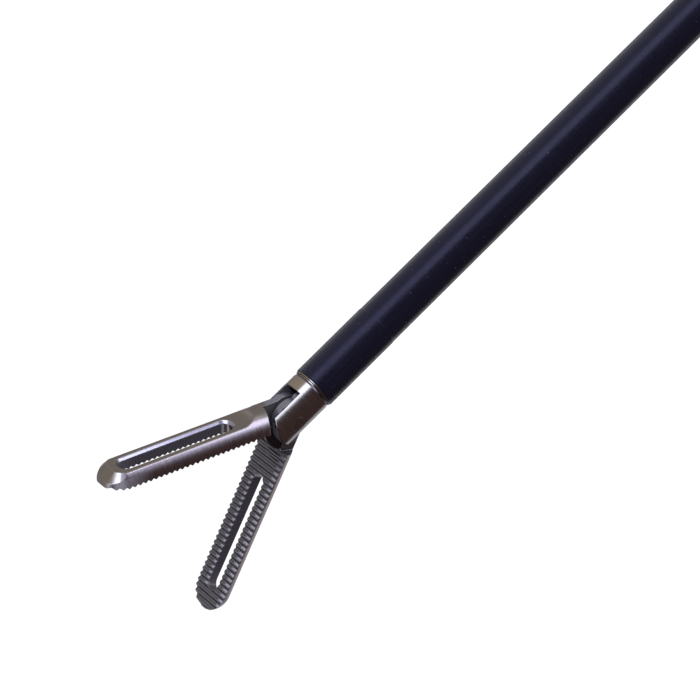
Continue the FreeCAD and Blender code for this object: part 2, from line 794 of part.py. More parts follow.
def shell_screws():
    """Cheese-head screws from the right shell into the left."""
    screws = []
    seat = shell_half - screw_head_length - screw_head_sunk
    for x, y in screw_places:
        screw = pillar(screw_r, x, y, -screw_reach, seat)
        head = pillar(screw_head_r, x, y, seat, seat + screw_head_length)
        slot = block(x - screw_head_r, x + screw_head_r, y - 0.3, y + 0.3, seat + screw_head_length / 2,
                     seat + screw_head_length)
        screws.append(screw.fuse(head).cut(slot).removeSplitter())
    return Part.Compound(screws)


def lever_pivot_pin():
    """Plain pin held at both ends in the shells."""
    return pillar(lever_pin_r, ball_x, -ball_arm, -lever_pin_half + press_gap, lever_pin_half - press_gap)


def thumb_lever():
    """Lever with the ball's socket at its head and the thumb ring at its foot."""
    half = lever_half
    ring_r = thumb_hole_r + thumb_ring_wall
    body = pillar(lever_hub_r, ball_x, -ball_arm, -half, half)
    head = block(ball_x - lever_head_half, ball_x + lever_head_half, -ball_arm, lever_head_top, -half, half)
    body = body.fuse(head)
    body = body.fuse(lever_arm(half)).fuse(pillar(ring_r, thumb_x, thumb_y, -half, half)).removeSplitter()
    corners = [edge for edge in body.Edges if joins_ring(edge, ring_r)]
    body = body.makeFillet(thumb_blend_r, corners)
    body = body.cut(pillar(thumb_hole_r, thumb_x, thumb_y, -half, half))
    low = -ball_arm - lever_arm_width
    rims = [edge for edge in body.Edges if edge.BoundBox.ZLength < 1e-3 and edge.BoundBox.YMax < low]
    body = body.makeFillet(lever_edge, rims)
    body = body.cut(Part.makeCylinder(socket_r + press_gap, 20, Vector(ball_x, -socket_depth, 0), axis_y))
    half_slot = socket_slot_half + socket_slot_room
    drop = socket_slot_drop + socket_slot_room
    body = body.cut(block(ball_x, ball_x + lever_hub_r + 2, -drop, lever_arm_width * 2, -half_slot, half_slot))
    return body.cut(pillar(lever_pin_r + running_gap, ball_x, -ball_arm, -half, half))


def lever_arm(half):
    """Straight arm from the lever's hub to its ring."""
    run = Vector(thumb_dx, thumb_dy, 0)
    across = Vector(run.y, -run.x, 0).normalize() * (lever_arm_width / 2)
    start = Vector(ball_x, -ball_arm, -half)
    sides = [start + across, start + run + across, start + run - across, start - across, start + across]
    return Part.Face(Part.makePolygon(sides)).extrude(axis_z * (2 * half))


def joins_ring(edge, ring_r):
    """True for the upright edges where the arm runs into the ring."""
    if edge.BoundBox.ZLength < lever_half:
        return False
    middle = edge.CenterOfMass
    away = math.hypot(middle.x - thumb_x, middle.y - thumb_y)
    return abs(away - ring_r) < 0.01 and middle.y > thumb_y


def ball_socket():
    """Steel cup pressed into the lever, open above and slotted for the rod."""
    length = lever_head_top + socket_depth
    foot = Vector(ball_x, -socket_depth, 0)
    cup = Part.makeCylinder(socket_r, length, foot, axis_y)
    cup = cup.cut(Part.makeCylinder(ball_r + socket_gap, length, foot, axis_y))
    return cup.cut(block(ball_x, ball_x + 8, -socket_slot_drop, 20, -socket_slot_half, socket_slot_half))


def post(gap):
    """Electrode post with its thicker root and flange, or with a gap the room for it."""
    foot = hub_journal_r + leaf_gap + leaf_height
    solid = Part.makeCylinder(post_r + gap, post_top - foot, Vector(post_x, foot, 0), axis_y)
    for radius, top in ((post_root_r, post_collar_top), (post_flange_r, foot + post_flange_length + gap)):
        solid = solid.fuse(Part.makeCylinder(radius + gap, top - foot, Vector(post_x, foot, 0), axis_y))
    return solid.removeSplitter()


def electrode_post():
    """Pin that the lead's socket is pushed on, its end rounded."""
    solid = post(0)
    return solid.makeFillet(post_r / 3, [edge for edge in solid.Edges if edge.BoundBox.YMin > post_top - 0.01])


def contact_leaf():
    """Bent strip that carries the current from the post down to the turning hub."""
    foot = hub_journal_r + leaf_gap
    rear = post_x - leaf_run
    outer = prism([(rear, foot, 0), (post_x + leaf_height / 2, foot, leaf_height * 0.499),
                   (post_x + leaf_height / 2, foot + leaf_height, leaf_height * 0.499), (rear, foot + leaf_height, 0)],
                  -leaf_half, leaf_half)
    room = leaf_height - 2 * leaf_thick
    inner_foot = foot + leaf_thick
    inner = prism([(rear - 1, inner_foot, 0), (post_x + room / 2, inner_foot, room * 0.499),
                   (post_x + room / 2, inner_foot + room, room * 0.499), (rear - 1, inner_foot + room, 0)],
                  -leaf_half, leaf_half)
    return outer.cut(inner)


pieces = [
    upper_jaw, lower_jaw, clevis, jaw_pivot_pin, rod_tongue, drive_pin, push_rod, rod_ball, inner_tube,
    insulation_sleeve, knob_hub, rod_seal, seal_retainer, rotation_knob, knob_set_screw, thrust_washer,
    retaining_clip, right_shell, left_shell, shell_screws, thumb_lever, lever_pivot_pin, ball_socket,
    electrode_post, contact_leaf,
]

os.makedirs("parts", exist_ok=True)
for piece in pieces:
    piece().exportStep("parts/" + piece.__name__ + ".step")
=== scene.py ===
import math

import bpy
from mathutils import Matrix, Vector


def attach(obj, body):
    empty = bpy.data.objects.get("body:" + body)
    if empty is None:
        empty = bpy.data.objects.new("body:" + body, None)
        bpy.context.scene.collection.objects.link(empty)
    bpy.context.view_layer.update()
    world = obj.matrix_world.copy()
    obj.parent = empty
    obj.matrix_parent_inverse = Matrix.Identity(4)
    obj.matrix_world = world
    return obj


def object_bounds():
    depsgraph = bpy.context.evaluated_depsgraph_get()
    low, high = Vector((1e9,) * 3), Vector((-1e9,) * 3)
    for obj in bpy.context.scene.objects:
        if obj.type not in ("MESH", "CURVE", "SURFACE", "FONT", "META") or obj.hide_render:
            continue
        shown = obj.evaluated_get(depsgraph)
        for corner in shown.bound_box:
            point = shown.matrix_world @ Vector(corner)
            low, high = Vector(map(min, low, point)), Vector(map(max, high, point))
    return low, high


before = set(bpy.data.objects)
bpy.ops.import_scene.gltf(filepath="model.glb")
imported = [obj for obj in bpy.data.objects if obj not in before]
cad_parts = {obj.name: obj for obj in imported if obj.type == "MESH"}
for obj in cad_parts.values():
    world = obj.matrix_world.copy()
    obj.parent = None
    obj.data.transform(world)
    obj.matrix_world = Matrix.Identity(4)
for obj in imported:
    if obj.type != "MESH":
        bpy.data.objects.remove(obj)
solid_box = [list(corner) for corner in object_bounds()]


# The bench that the instrument lies on, left side down: a white sheet that runs out to
# the horizon. The room that steel shows is white low down, dim and warm above, with a
# pale sky on the side of the jaws. Two cool windows stand there, for bright bands.
def join(tree, value, socket):
    if isinstance(value, bpy.types.NodeSocket):
        tree.links.new(value, socket)
    else:
        socket.default_value = value


def put(tree, kind, inputs=None, **settings):
    made = tree.nodes.new(kind)
    for name, value in settings.items():
        setattr(made, name, value)
    for name, value in (inputs or {}).items():
        join(tree, value, made.inputs[name])
    return made


# The sockets of a Mix node that mixes colours: its share, its two colours and its result.
mix_inputs = (0, 6, 7)
mix_output = 2


def blend(tree, share, first, second):
    inputs = dict(zip(mix_inputs, (share, first, second)))
    return put(tree, "ShaderNodeMix", inputs, data_type="RGBA").outputs[mix_output]


def work_out(tree, operation, first, *others):
    """One number from one or more, by the same operation from left to right."""
    if not others:
        return put(tree, "ShaderNodeMath", {0: first}, operation=operation).outputs[0]
    for other in others:
        first = put(tree, "ShaderNodeMath", {0: first, 1: other}, operation=operation).outputs[0]
    return first


def times(tree, *values):
    return work_out(tree, "MULTIPLY", *values)


def most(tree, *values):
    return work_out(tree, "MAXIMUM", *values)


def dot(tree, vector, way):
    return put(tree, "ShaderNodeVectorMath", {0: vector, 1: way}, operation="DOT_PRODUCT").outputs["Value"]


def split(tree, vector):
    return put(tree, "ShaderNodeSeparateXYZ", {"Vector": vector}).outputs


def ramp(tree, value, start, end, at_start=0.0, at_end=1.0, smooth=True):
    inputs = {"Value": value, "From Min": start, "From Max": end, "To Min": at_start, "To Max": at_end}
    return put(tree, "ShaderNodeMapRange", inputs,
               interpolation_type="SMOOTHSTEP" if smooth else "LINEAR").outputs["Result"]


def seen_directly(tree):
    path = put(tree, "ShaderNodeLightPath").outputs
    return most(tree, path["Is Camera Ray"], path["Is Glossy Ray"], path["Is Transmission Ray"])


sheet_white = (1.0, 1.0, 1.0, 1.0)
sheet_glow = 0.80
sheet_shading = (0.34, 0.34, 0.34, 1.0)
sheet_bounce = (0.80, 0.80, 0.80, 1.0)
sheet_half = 9.0

sheet_paint = bpy.data.materials.new("bench_sheet")
sheet_paint.use_nodes = True
tree = sheet_paint.node_tree
tree.nodes.clear()
glow = put(tree, "ShaderNodeEmission", {"Color": sheet_white, "Strength": sheet_glow})
shading = put(tree, "ShaderNodeBsdfDiffuse", {"Color": sheet_shading})
shown = put(tree, "ShaderNodeAddShader", {0: glow.outputs[0], 1: shading.outputs[0]})
bounce = put(tree, "ShaderNodeBsdfDiffuse", {"Color": sheet_bounce})
either = put(tree, "ShaderNodeMixShader",
             {0: seen_directly(tree), 1: bounce.outputs[0], 2: shown.outputs[0]})
put(tree, "ShaderNodeOutputMaterial", {"Surface": either.outputs[0]})

sheet_height = solid_box[0][2]
sheet_corners = [(x * sheet_half, y * sheet_half, sheet_height)
                 for x, y in ((-1, -1), (1, -1), (1, 1), (-1, 1))]
sheet_mesh = bpy.data.meshes.new("bench")
sheet_mesh.from_pydata(sheet_corners, [], [(0, 1, 2, 3)])
sheet_mesh.materials.append(sheet_paint)
sheet = bpy.data.objects.new("bench", sheet_mesh)
bpy.context.scene.collection.objects.link(sheet)

room_fill = (0.62, 0.62, 0.64, 1.0)
room_dim = (0.084, 0.044, 0.038, 1.0)
room_sky = (0.55, 0.54, 0.72, 1.0)
sky_side = Vector((-0.86, -0.36, 0.36)).normalized()
sky_reach = (0.78, 0.98)
white_side = (-0.80, -0.60, 0.0)
white_rise = 0.308
white_to_dim = (0.157, 0.40)

room = bpy.data.worlds.new("room")
bpy.context.scene.world = room
room.use_nodes = True
tree = room.node_tree
tree.nodes.clear()
direction = put(tree, "ShaderNodeTexCoord").outputs["Generated"]
white_edge = times(tree, dot(tree, direction, white_side), white_rise)
height = work_out(tree, "SUBTRACT", split(tree, direction)["Z"], white_edge)
sky = ramp(tree, dot(tree, direction, sky_side), *sky_reach)
above = blend(tree, sky, room_dim, room_sky)
mirrored = blend(tree, ramp(tree, height, *white_to_dim), sheet_white, above)
camera_ray = put(tree, "ShaderNodeLightPath").outputs["Is Camera Ray"]
shown = blend(tree, camera_ray, mirrored, sheet_white)
light = put(tree, "ShaderNodeBackground",
            {"Color": blend(tree, seen_directly(tree), room_fill, shown), "Strength": 1.0})
put(tree, "ShaderNodeOutputWorld", {"Surface": light.outputs[0]})


def window(name, place, aim, width, height, power, tint):
    lamp = bpy.data.lights.new(name, "AREA")
    lamp.shape = "RECTANGLE"
    lamp.size, lamp.size_y = width, height
    lamp.energy = power
    lamp.color = tint
    made = bpy.data.objects.new(name, lamp)
    made.location = place
    made.rotation_mode = "QUATERNION"
    made.rotation_quaternion = (Vector(place) - Vector(aim)).to_track_quat("Z", "Y")
    made.visible_camera = False
    bpy.context.scene.collection.objects.link(made)


window("low_window", place=(-0.10, -0.90, 0.21), aim=(0.0, 0.0, 0.02),
       width=1.9, height=0.58, power=11.0, tint=(0.80, 0.84, 1.0))
window("side_window", place=(-0.74, -0.32, 0.39), aim=(0.0, 0.0, 0.0),
       width=0.34, height=0.34, power=1.6, tint=(0.70, 0.73, 1.0))

# The place of the photograph's camera, worked out from the sleeve, the clevis and the
# jaws as they stand in the picture: the turn is given by the picture's own directions.
picture_right = Vector((-0.69713, 0.38777, 0.60303))
picture_up = Vector((-0.68901, -0.59485, -0.41402))
towards_camera = Vector((0.19817, -0.70412, 0.68186))
camera_place = Vector((0.04907, -0.19466, 0.18832))
sensor_width = 36.0
focal_length = 132.63
nearest_seen = 0.01

lens = bpy.data.cameras.new("photograph")
lens.sensor_width = sensor_width
lens.lens = focal_length
lens.clip_start = nearest_seen
camera = bpy.data.objects.new("photograph", lens)
camera.rotation_mode = "QUATERNION"
camera_turn = Matrix((picture_right, picture_up, towards_camera)).transposed()
camera.rotation_quaternion = camera_turn.to_quaternion()
camera.location = camera_place
bpy.context.scene.collection.objects.link(camera)
bpy.context.scene.camera = camera
bpy.context.scene.view_settings.view_transform = "Standard"


# The insulating sleeve is a black extruded plastic tube, shrunk tightly over the steel
# tube and doubled at its front. Its satin skin has a navy cast, with fine rings left by
# the drawing die, long faint scuffs and a few specks of dust.
def material_of(name):
    made = bpy.data.materials.new(name)
    made.use_nodes = True
    made.node_tree.nodes.clear()
    surface = made.node_tree.nodes.new("ShaderNodeBsdfPrincipled")
    put(made.node_tree, "ShaderNodeOutputMaterial", {"Surface": surface.outputs[0]})
    return made, made.node_tree, surface


surface_inputs = {"colour": "Base Color", "roughness": "Roughness", "metal": "Metallic", "normal": "Normal",
                  "specular": "Specular IOR Level", "tint": "Specular Tint"}


def feed(tree, surface, **values):
    for name, value in values.items():
        join(tree, value, surface.inputs[surface_inputs[name]])


def group_of(name, inputs, outputs):
    made = bpy.data.node_groups.new(name, "ShaderNodeTree")
    for label, kind, value in inputs:
        socket = made.interface.new_socket(label, in_out="INPUT", socket_type=kind)
        if value is not None:
            socket.default_value = value
    for label in outputs:
        made.interface.new_socket(label, in_out="OUTPUT", socket_type="NodeSocketFloat")
    return made, made.nodes.new("NodeGroupInput").outputs, made.nodes.new("NodeGroupOutput").inputs


def use(tree, group, **values):
    made = put(tree, "ShaderNodeGroup", node_tree=group)
    for name, value in values.items():
        join(tree, value, made.inputs[name.capitalize()])
    return made.outputs


millimetre = 0.001


def grain_group():
    """Streaks that are short one way and long the other, on a place in millimetres."""
    made, given, result = group_of(
        "grain",
        [("Place", "NodeSocketVector", None), ("Turn", "NodeSocketFloat", 0.0),
         ("Short", "NodeSocketFloat", 8.0), ("Long", "NodeSocketFloat", 0.6)],
        ["Tone", "Line"])
    turn = put(made, "ShaderNodeCombineXYZ", {"Z": given["Turn"]}).outputs[0]
    turned = put(made, "ShaderNodeMapping",
                 {"Vector": given["Place"], "Rotation": turn, "Scale": (millimetre,) * 3},
                 vector_type="TEXTURE").outputs[0]
    pitch = put(made, "ShaderNodeCombineXYZ", {"X": given["Short"], "Y": given["Long"], "Z": given["Long"]})
    streak = put(made, "ShaderNodeVectorMath", {0: turned, 1: pitch.outputs[0]}, operation="MULTIPLY")
    fine = put(made, "ShaderNodeTexNoise",
               {"Vector": streak.outputs[0], "Scale": 1.0, "Detail": 3.0, "Roughness": 0.6})
    broad = put(made, "ShaderNodeTexNoise",
                {"Vector": turned, "Scale": 0.35, "Detail": 2.0, "Roughness": 0.5})
    made.links.new(fine.outputs["Fac"], result["Line"])
    made.links.new(broad.outputs["Fac"], result["Tone"])
    return made


grain = grain_group()


def edge_on(tree):
    return put(tree, "ShaderNodeLayerWeight", {"Blend": 0.5}).outputs["Facing"]


def bumps(tree, height, depth, **under):
    inputs = {"Height": height, "Strength": 1.0, "Distance": depth, **under}
    return put(tree, "ShaderNodeBump", inputs).outputs["Normal"]


def dress(names, material):
    for name in names:
        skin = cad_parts[name].data.materials
        skin.clear()
        skin.append(material)


lengthwise = math.radians(90)
grain_middle = (0.35, 0.65)
grain_whole = (0.30, 0.70)

sleeve_black = (0.0060, 0.0054, 0.0115, 1.0)
sleeve_scuffed = (0.0095, 0.0086, 0.0185, 1.0)
sleeve_speck = (0.075, 0.080, 0.120, 1.0)
sleeve_tint = (0.58, 0.60, 0.96, 1.0)
sleeve_specular = 0.21
sleeve_rough = (0.235, 0.345)
sleeve_limb = (0.60, 0.95)
sleeve_limb_rough = 0.40
scuff_reach = (0.50, 0.72)
dust_scale = 4200.0
dust_reach = (0.75, 0.82)
ring_depth = 0.0000075

sleeve_skin, tree, surface = material_of("sleeve_black")
place = put(tree, "ShaderNodeTexCoord").outputs["Object"]
rings = use(tree, grain, place=place, short=5.0, long=1.2)["Line"]
scuffs = use(tree, grain, place=place, turn=lengthwise, short=5.0, long=0.05)["Line"]
dust = put(tree, "ShaderNodeTexNoise", {"Vector": place, "Scale": dust_scale, "Detail": 1.0}).outputs["Fac"]
scuffed = blend(tree, ramp(tree, scuffs, *scuff_reach), sleeve_black, sleeve_scuffed)
limb = times(tree, ramp(tree, edge_on(tree), *sleeve_limb), sleeve_limb_rough)
feed(tree, surface, tint=sleeve_tint, specular=sleeve_specular,
     colour=blend(tree, ramp(tree, dust, *dust_reach), scuffed, sleeve_speck),
     roughness=work_out(tree, "ADD", ramp(tree, rings, *grain_middle, *sleeve_rough), limb),
     normal=bumps(tree, rings, ring_depth))
dress(["insulation_sleeve"], sleeve_skin)


# The clevis is turned from stainless bar, slotted for the jaw tangs and pressed on the
# inner tube. Its satin finish runs round it, and its edges are broken by hand, so that
# they shine. The pins are ground flush with its sides, and the tube behind is drawn.
edge_samples = 6
rounded_off = (0.99, 0.90)
dab_reach = (0.30, 0.60)
dab_strength = (0.45, 1.0)


def edge_group():
    """A mask of rubbed edges: where a rounded normal leaves the true one, broken by dabs."""
    made, given, result = group_of(
        "rubbed_edge",
        [("Width", "NodeSocketFloat", 0.0001), ("Place", "NodeSocketVector", None),
         ("Dabs", "NodeSocketFloat", 2000.0)],
        ["Edge"])
    rounded = put(made, "ShaderNodeBevel", {"Radius": given["Width"]}, samples=edge_samples).outputs[0]
    true = put(made, "ShaderNodeNewGeometry").outputs["Normal"]
    edge = ramp(made, dot(made, rounded, true), *rounded_off)
    dab = put(made, "ShaderNodeTexNoise", {"Vector": given["Place"], "Scale": given["Dabs"], "Detail": 2.0})
    broken = ramp(made, dab.outputs["Fac"], *dab_reach, *dab_strength)
    made.links.new(times(made, edge, broken), result["Edge"])
    return made


rubbed_edge = edge_group()

round_samples = 8
steel_edge_on = (0.58, 0.56, 0.60, 1.0)
steel_limb = (0.66, 0.92)
steel_limb_metal = (1.0, 0.45)
grain_darkening = 0.88


def edge_metal(tree, dulled=None):
    """How metallic the steel is: less where it is seen edge-on, so that its limbs stay darker."""
    metal = ramp(tree, edge_on(tree), *steel_limb, *steel_limb_metal)
    if dulled is None:
        return metal
    return times(tree, metal, work_out(tree, "SUBTRACT", 1.0, dulled))


def layered(tree, colour, *layers):
    for mask, paint in layers:
        colour = blend(tree, mask, colour, paint)
    return colour


def brushed(name, colour, rough=(0.22, 0.28), turn=0.0, short=9.0, long=0.5, depth=0.0000004,
            edge=0.00006, rub=0.35):
    """Stainless steel's grain and broken edges: its colour and metal are left to feed."""
    made, tree, surface = material_of(name)
    place = put(tree, "ShaderNodeTexCoord").outputs["Object"]
    line = use(tree, grain, place=place, turn=turn, short=short, long=long)["Line"]
    rim = times(tree, use(tree, rubbed_edge, width=edge / 2, place=place)["Edge"], rub)
    darker = tuple(grain_darkening * part for part in colour[:3]) + (1.0,)
    shade = blend(tree, ramp(tree, line, *grain_middle), darker, colour)
    broken = put(tree, "ShaderNodeBevel", {"Radius": edge}, samples=round_samples).outputs["Normal"]
    feed(tree, surface, specular=0.0, tint=steel_edge_on,
         roughness=ramp(tree, line, *grain_whole, *rough, smooth=False),
         normal=bumps(tree, line, depth, Normal=broken))
    return made, tree, surface, shade, rim


rim_bright = (0.72, 0.71, 0.73, 1.0)


def steel(name, colour, bright=rim_bright, **finish):
    made, tree, surface, shade, rim = brushed(name, colour, **finish)
    feed(tree, surface, colour=blend(tree, rim, shade, bright), metal=edge_metal(tree))
    return made


clevis_grey = (0.345, 0.335, 0.335, 1.0)
clevis_painted_reflection = (0.195, 0.159, 0.122, 1.0)
clevis_painted_shade = (0.075, 0.070, 0.084, 1.0)
across_shaft = (0.0, 1.0, 1.0)
slot_reach = (0.0022, 0.0021)
front_end_x = (0.40, 0.75)
rear_end_x = (-0.15, -0.38)
painted_reflection_z = (0.40, 0.30)
far_arm_x = (0.0018, 0.0020)
far_arm_z = (-0.0010, -0.0012)
far_limb_y = (-0.56, -0.66)

clevis_steel, tree, surface, shade, rim = brushed(
    "clevis_satin", clevis_grey, rough=(0.20, 0.25), short=6.0, long=0.35)
spot = put(tree, "ShaderNodeTexCoord").outputs
facing = split(tree, spot["Normal"])
place = split(tree, spot["Object"])
across = put(tree, "ShaderNodeVectorMath", {0: spot["Object"], 1: across_shaft}, operation="MULTIPLY")
spread = put(tree, "ShaderNodeVectorMath", {0: across.outputs[0]}, operation="LENGTH").outputs["Value"]
# Painted shade: the slot's inside, the end faces of the arms and the far arm's limb are painted dark, and
# the slot and the far limb are made less metallic.
inside = ramp(tree, spread, *slot_reach)
# Painted reflection: the steel that faces downward is coloured a dull khaki, for the warm surroundings it
# mirrors there.
painted_reflection_below = ramp(tree, facing["Z"], *painted_reflection_z)
far_arm = times(tree, ramp(tree, place["X"], *far_arm_x), ramp(tree, place["Z"], *far_arm_z))
far_limb = times(tree, far_arm, ramp(tree, facing["Y"], *far_limb_y))
ends = most(tree, ramp(tree, facing["X"], *front_end_x), ramp(tree, facing["X"], *rear_end_x))
painted_shade_mask = most(tree, inside, ends, far_limb)
near_rim = times(tree, rim, work_out(tree, "SUBTRACT", 1.0, far_limb))
feed(tree, surface, metal=edge_metal(tree, most(tree, inside, far_limb)),
     colour=layered(tree, shade, (painted_reflection_below, clevis_painted_reflection), (painted_shade_mask, clevis_painted_shade), (near_rim, rim_bright)))

pin_grey = (0.31, 0.30, 0.30, 1.0)
pin_seam = (0.03, 0.03, 0.03, 1.0)
tube_grey = (0.40, 0.39, 0.40, 1.0)
pin_steel = steel("pin_ground", pin_grey, pin_seam, rough=(0.20, 0.26), short=12.0, long=3.0, rub=1.0)
tube_steel = steel("tube_drawn", tube_grey, turn=lengthwise, short=7.0, long=0.1)
dress(["clevis"], clevis_steel)
dress(["jaw_pivot_pin", "drive_pin"], pin_steel)
dress(["inner_tube"], tube_steel)


# The jaws are two like castings of hard stainless steel, with the window milled through,
# the back ground flat and bevelled round the window, and teeth cut across the face. The
# back is brushed across. Its dark brown is a painted darker reflection. The dark tooth
# face, the heel, the window's walls and the turn to the nose are painted shade. Painted
# highlights and sheen lie on the bevel, the tooth ends, the nose and the flank, and
# painted light lies on the tang round the pivot.
jaw_open = math.radians(31.0)
pivot_x = 0.00416
tooth_pitch = 0.00064

jaw_side_grey = (0.30, 0.27, 0.275, 1.0)
jaw_back_painted_reflection = (0.132, 0.112, 0.094, 1.0)
jaw_face_painted_shade = (0.086, 0.084, 0.092, 1.0)
heel_painted_shade = (0.085, 0.075, 0.082, 1.0)
tooth_glint = (0.34, 0.33, 0.40, 1.0)
wall_painted_shade = (0.105, 0.098, 0.118, 1.0)
bevel_painted_highlight_heel = (0.20, 0.19, 0.22, 1.0)
bevel_painted_highlight_nose = (0.38, 0.38, 0.41, 1.0)
front_painted_sheen = (0.245, 0.225, 0.265, 1.0)
nose_painted_highlight = (0.39, 0.38, 0.43, 1.0)
nose_painted_shade = (0.125, 0.112, 0.130, 1.0)
tang_painted_light_and_shade = (0.150, 0.143, 0.160, 1.0)

# Where each mask starts and is full. Rise, reach and height say how far the skin faces out
# of the jaw's back, forward and up; the others are places in metres, and the crest's are
# shares of a pitch.
back_rise = (0.80, 0.97)
face_rise = (-0.15, -0.45)
heel_reach = (-0.35, -0.70)
nose_reach, nose_height = (0.25, 0.55), (0.48, 0.22)
crest = (0.30, 0.42), (0.66, 0.54)
near_teeth = (0.00150, 0.00195)
far_teeth = (-0.00150, -0.00105), (-0.0007, -0.0008)
window_along = (0.0072, 0.0078), (0.0214, 0.0208)
wall_aside, wall_height = (0.0011, 0.0010), (0.75, 0.90)
bevel_rise = (0.35, 0.45), (0.90, 0.80)
bevel_aside, bevel_end = (0.00135, 0.00125), (0.0218, 0.0214)
streak_aside, streak_end = (0.00112, 0.00104), (0.0208, 0.0202)
shine_along = (0.0100, 0.0200)
flank_rise = (0.60, 0.50), (-0.20, 0.05)
front_along, front_share = (0.0180, 0.0222), (0.0, 0.9)
lit_height = (0.55, 0.75)
facet_reach, facet_height = (0.20, 0.40), (0.32, 0.48)
turning_rise = (0.50, 0.62), (0.90, 0.82)
turning_reach = (0.52, 0.45), (0.10, 0.30)
turning_aside = (0.00122, 0.00130)
tang_radius = (0.0032, 0.0030)
dull_share = 0.5


def band(tree, value, limits):
    return times(tree, *(ramp(tree, value, *limit) for limit in limits))


def jaw_skin(name, side):
    """One jaw's steel: side is -1 for the jaw that swings to -Y and 1 for the other."""
    # The jaws' rubbed edges are made stronger: partly wear, partly painted highlights on the tooth edges.
    made, tree, surface, shade, rim = brushed(
        name, jaw_side_grey, rough=(0.24, 0.32), turn=side * jaw_open, short=7.0, long=0.5,
        depth=0.0000006, edge=0.00010, rub=0.6)
    outward = (-math.sin(jaw_open), side * math.cos(jaw_open), 0.0)
    forward = (math.cos(jaw_open), side * math.sin(jaw_open), 0.0)
    spot = put(tree, "ShaderNodeTexCoord").outputs
    rise = dot(tree, spot["Normal"], outward)
    reach = dot(tree, spot["Normal"], forward)
    height = split(tree, spot["Normal"])["Z"]
    from_pivot = put(tree, "ShaderNodeVectorMath", {0: spot["Object"], 1: (pivot_x, 0.0, 0.0)},
                     operation="SUBTRACT").outputs[0]
    distance = put(tree, "ShaderNodeVectorMath", {0: from_pivot}, operation="LENGTH").outputs["Value"]
    along = dot(tree, from_pivot, forward)
    level = split(tree, spot["Object"])["Z"]
    aside = work_out(tree, "ABSOLUTE", level)

    # Painted darker reflection: the back flat, the nose cone and the outer part of the window's bevel are
    # coloured a dark brown.
    nose = times(tree, ramp(tree, reach, *nose_reach), ramp(tree, height, *nose_height))
    back = most(tree, ramp(tree, rise, *back_rise), nose)
    # Painted shade: the toothed face is coloured a dark grey.
    face = ramp(tree, rise, *face_rise)
    # Painted shade: the heel, facing back towards the pivot, is painted dark and made less metallic.
    heel = ramp(tree, reach, *heel_reach)
    # Painted light: the tang round the pivot is made a dull, less metallic grey, so that it looks lit
    # inside the slot.
    tang = ramp(tree, distance, *tang_radius)

    # Painted highlights: a bright tick on the crest of each tooth, at the ends by the near side and by the
    # window.
    tooth = work_out(tree, "FRACT", work_out(tree, "DIVIDE", along, tooth_pitch))
    by_window = times(tree, band(tree, level, far_teeth), band(tree, along, window_along))
    tooth_end = most(tree, ramp(tree, level, *near_teeth), by_window)
    glint = times(tree, face, tooth_end, band(tree, tooth, crest))

    # Painted shade: the window's steep walls are coloured darker and made less metallic.
    steep = ramp(tree, work_out(tree, "ABSOLUTE", height), *wall_height)
    walls = times(tree, ramp(tree, aside, *wall_aside), steep)
    # The window's bevel takes the painted darker reflection of the back, and a painted highlight streaks
    # along its inner part, brighter towards the nose.
    bevel = times(tree, band(tree, rise, bevel_rise), ramp(tree, aside, *bevel_aside),
                  ramp(tree, along, *bevel_end))
    streak = times(tree, bevel, ramp(tree, aside, *streak_aside), ramp(tree, along, *streak_end))
    shine = blend(tree, ramp(tree, along, *shine_along), bevel_painted_highlight_heel, bevel_painted_highlight_nose)

    # Painted sheen: the upper front of the flank is coloured lilac and made less metallic.
    lit_side = times(tree, band(tree, rise, flank_rise), ramp(tree, along, *front_along, *front_share),
                     ramp(tree, height, *lit_height))
    # Painted highlight: a bright facet on the nose.
    facet = times(tree, ramp(tree, reach, *facet_reach), ramp(tree, height, *facet_height))
    # Painted shade: the turn from the back to the nose is coloured darker, so that the nose's highlight
    # fades out.
    turning = times(tree, band(tree, rise, turning_rise), band(tree, reach, turning_reach),
                    ramp(tree, aside, *turning_aside))

    colour = layered(
        tree, shade, (back, jaw_back_painted_reflection), (face, jaw_face_painted_shade), (heel, heel_painted_shade), (glint, tooth_glint),
        (bevel, jaw_back_painted_reflection), (streak, shine), (walls, wall_painted_shade), (lit_side, front_painted_sheen),
        (facet, nose_painted_highlight), (turning, nose_painted_shade), (tang, tang_painted_light_and_shade), (rim, rim_bright))
    # Where shade, sheen or light is painted, on the heel, the walls, the tang and the front flank, the
    # steel is also made less metallic.
    dulled = times(tree, most(tree, heel, walls, tang, lit_side), dull_share)
    feed(tree, surface, colour=colour, metal=edge_metal(tree, dulled))
    return made


dress(["upper_jaw"], jaw_skin("upper_jaw_steel", -1))
dress(["lower_jaw"], jaw_skin("lower_jaw_steel", 1))

# Each tang's flat runs on past the closed face as a thin shoulder, which stays within the
# hollowed heel of the other jaw and closes the wedge between the two heels when they stand
# open. The shoulders take the heels' painted shade, so that the wedge is painted dark.
shoulder_in, shoulder_out = 0.0019, 0.0036
shoulder_low, shoulder_high = 0.00028, 0.00106
shoulder_sweep = math.radians(60)
shoulder_steps = 14

